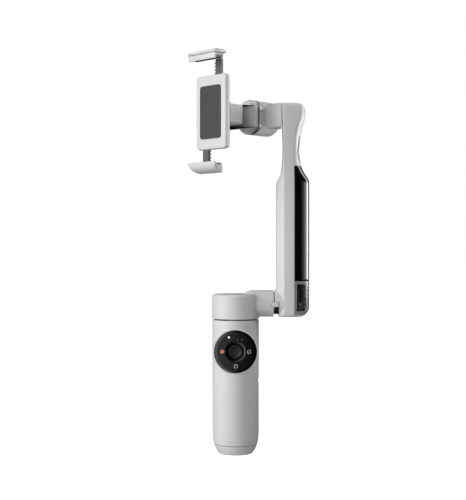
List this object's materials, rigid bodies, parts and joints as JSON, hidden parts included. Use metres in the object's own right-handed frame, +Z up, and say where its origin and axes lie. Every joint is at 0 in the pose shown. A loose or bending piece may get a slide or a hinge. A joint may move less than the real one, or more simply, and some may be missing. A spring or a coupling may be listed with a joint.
{
  "type": "gimbal stabilizer",
  "caption": "Handheld folding phone gimbal: round handle with control disc and extension rod, pan head, folding arm, roll and tilt motors, and a phone clamp.",
  "frame": {"origin": "centre of the flat foot at the bottom of the handle", "axes": "+Z up along the handle, -Y towards the user's side that carries the control disc, +X along the fold hinge towards the arm"},
  "size_m": [0.0936, 0.0745, 0.3057],
  "materials": {
    "stone_plastic": "satin moulded plastic, warm light grey",
    "inner_plastic": "dark matte plastic",
    "gloss_panel": "polished black",
    "clear_window": "smoked clear, polished",
    "rubber": "soft matte",
    "steel": "brushed",
    "aluminium": "fine blasted",
    "winding": "lacquered copper winding",
    "circuit_board": "solder mask",
    "battery_wrap": "shrink film"
  },
  "bodies": {
    "handle": {"handle_shell": "stone_plastic", "handle_top_cap": "inner_plastic", "rod_outer_tube": "steel", "battery_pack": "battery_wrap", "main_board": "circuit_board", "usb_port": "steel", "tripod_guide_ring": "inner_plastic", "trigger_switch": "inner_plastic", "trigger_pin": "steel", "control_board": "circuit_board", "joystick_module": "inner_plastic"},
    "trigger": {"trigger": "stone_plastic"},
    "panel_rocker": {"panel_rocker_ring": "inner_plastic"},
    "control_panel": {"control_panel": "gloss_panel"},
    "joystick_yoke": {"joystick_yoke": "inner_plastic"},
    "joystick": {"joystick_cap": "rubber"},
    "tripod": {"tripod_hub": "inner_plastic", "tripod_leg_1": "stone_plastic", "tripod_leg_2": "stone_plastic", "tripod_leg_3": "stone_plastic"},
    "rod_stage_1": {"rod_stage_1": "aluminium"},
    "rod_stage_2": {"rod_stage_2": "aluminium"},
    "rod_stage_3": {"rod_stage_3": "aluminium", "pan_base": "inner_plastic", "pan_stator": "winding"},
    "pan_head": {"pan_head": "stone_plastic", "pan_rotor": "steel", "fold_bush": "steel", "fold_stop_tab": "stone_plastic"},
    "arm": {"arm_frame": "stone_plastic", "arm_rear_cover": "stone_plastic", "arm_side_panel": "gloss_panel", "arm_window": "clear_window", "arm_trim": "inner_plastic", "fold_shaft": "steel", "fold_nut": "steel", "hinge_bracket": "inner_plastic", "hinge_screw_1": "steel", "hinge_screw_2": "steel", "motor_driver_board": "circuit_board", "arm_flex_cable": "winding", "roll_motor_housing": "stone_plastic", "roll_stator": "winding"},
    "roll_arm": {"roll_rotor": "aluminium", "roll_arm": "stone_plastic", "tilt_motor_housing": "stone_plastic", "tilt_stator": "winding"},
    "clamp": {"tilt_rotor": "aluminium", "clamp_mount": "stone_plastic", "magnet_disc": "steel", "clamp_base": "stone_plastic", "clamp_back_pad": "rubber"},
    "jaw_pinion": {"jaw_pinion": "steel"},
    "upper_jaw": {"upper_rack": "inner_plastic", "upper_jaw": "stone_plastic", "upper_jaw_cover": "stone_plastic", "upper_jaw_pad": "rubber"},
    "lower_jaw": {"lower_rack": "inner_plastic", "lower_jaw": "stone_plastic", "lower_jaw_pad": "rubber"}
  },
  "joints": [
    {"name": "rod_extend_1", "type": "slide", "parent": "handle", "child": "rod_stage_1", "axis": [0, 0, -1], "range_m": [-0.07, 0]},
    {"name": "rod_extend_2", "type": "slide", "parent": "rod_stage_1", "child": "rod_stage_2", "axis": [0, 0, -1], "range_m": [-0.07, 0]},
    {"name": "rod_extend_3", "type": "slide", "parent": "rod_stage_2", "child": "rod_stage_3", "axis": [0, 0, -1], "range_m": [-0.07, 0]},
    {"name": "pan", "type": "hinge", "parent": "rod_stage_3", "child": "pan_head", "pos_m": [0, 0, 0.107], "axis": [0, 0, 1], "range_deg": [-219, 157]},
    {"name": "fold", "type": "hinge", "parent": "pan_head", "child": "arm", "pos_m": [0.0296, 0, 0.1155], "axis": [-1, 0, 0], "range_deg": [0, 180]},
    {"name": "roll", "type": "hinge", "parent": "arm", "child": "roll_arm", "pos_m": [0, 0, 0.2605], "axis": [-0.7071, -0.7071, 0], "range_deg": [-210, 90]},
    {"name": "tilt", "type": "hinge", "parent": "roll_arm", "child": "clamp", "pos_m": [-0.00636, -0.00636, 0.2605], "axis": [-0.7071, 0.7071, 0], "range_deg": [-45, 45]},
    {"name": "jaw_open", "type": "slide", "parent": "clamp", "child": "upper_jaw", "axis": [0, 0, 1], "range_m": [-0.007, 0.003]},
    {"name": "lower_jaw_open", "type": "slide", "parent": "clamp", "child": "lower_jaw", "axis": [0, 0, -1], "range_m": [-0.007, 0.003]},
    {"name": "pinion_turn", "type": "hinge", "parent": "clamp", "child": "jaw_pinion", "pos_m": [-0.01711, -0.01895, 0.2605], "axis": [-0.7071, -0.7071, 0], "range_deg": [-126, 54]},
    {"name": "tripod_pull", "type": "slide", "parent": "handle", "child": "tripod", "axis": [0, 0, 1], "range_m": [-0.034, 0]},
    {"name": "trigger_press", "type": "hinge", "parent": "handle", "child": "trigger", "pos_m": [0, 0.0147, 0.0895], "axis": [-1, 0, 0], "range_deg": [0, 5], "stiffness_Nm_per_rad": 0.3},
    {"name": "panel_press_side", "type": "hinge", "parent": "handle", "child": "panel_rocker", "pos_m": [0, -0.0156, 0.0797], "axis": [0, 0, 1], "range_deg": [-0.8, 0.8], "stiffness_Nm_per_rad": 1},
    {"name": "panel_press_upright", "type": "hinge", "parent": "panel_rocker", "child": "control_panel", "pos_m": [0, -0.0156, 0.0797], "axis": [1, 0, 0], "range_deg": [-0.8, 0.8], "stiffness_Nm_per_rad": 1},
    {"name": "joystick_upright", "type": "hinge", "parent": "handle", "child": "joystick_yoke", "pos_m": [0, -0.0145, 0.0797], "axis": [1, 0, 0], "range_deg": [-10, 10], "stiffness_Nm_per_rad": 0.05},
    {"name": "joystick_side", "type": "hinge", "parent": "joystick_yoke", "child": "joystick", "pos_m": [0, -0.0145, 0.0797], "axis": [0, 0, 1], "range_deg": [-10, 10], "stiffness_Nm_per_rad": 0.05}
  ],
  "couplings": [
    {"joint": "rod_extend_2", "follows": "rod_extend_1", "ratio": 1},
    {"joint": "rod_extend_3", "follows": "rod_extend_1", "ratio": 1},
    {"joint": "lower_jaw_open", "follows": "jaw_open", "ratio": 1},
    {"joint": "pinion_turn", "follows": "jaw_open", "rad_per_m": 312.5}
  ]
}
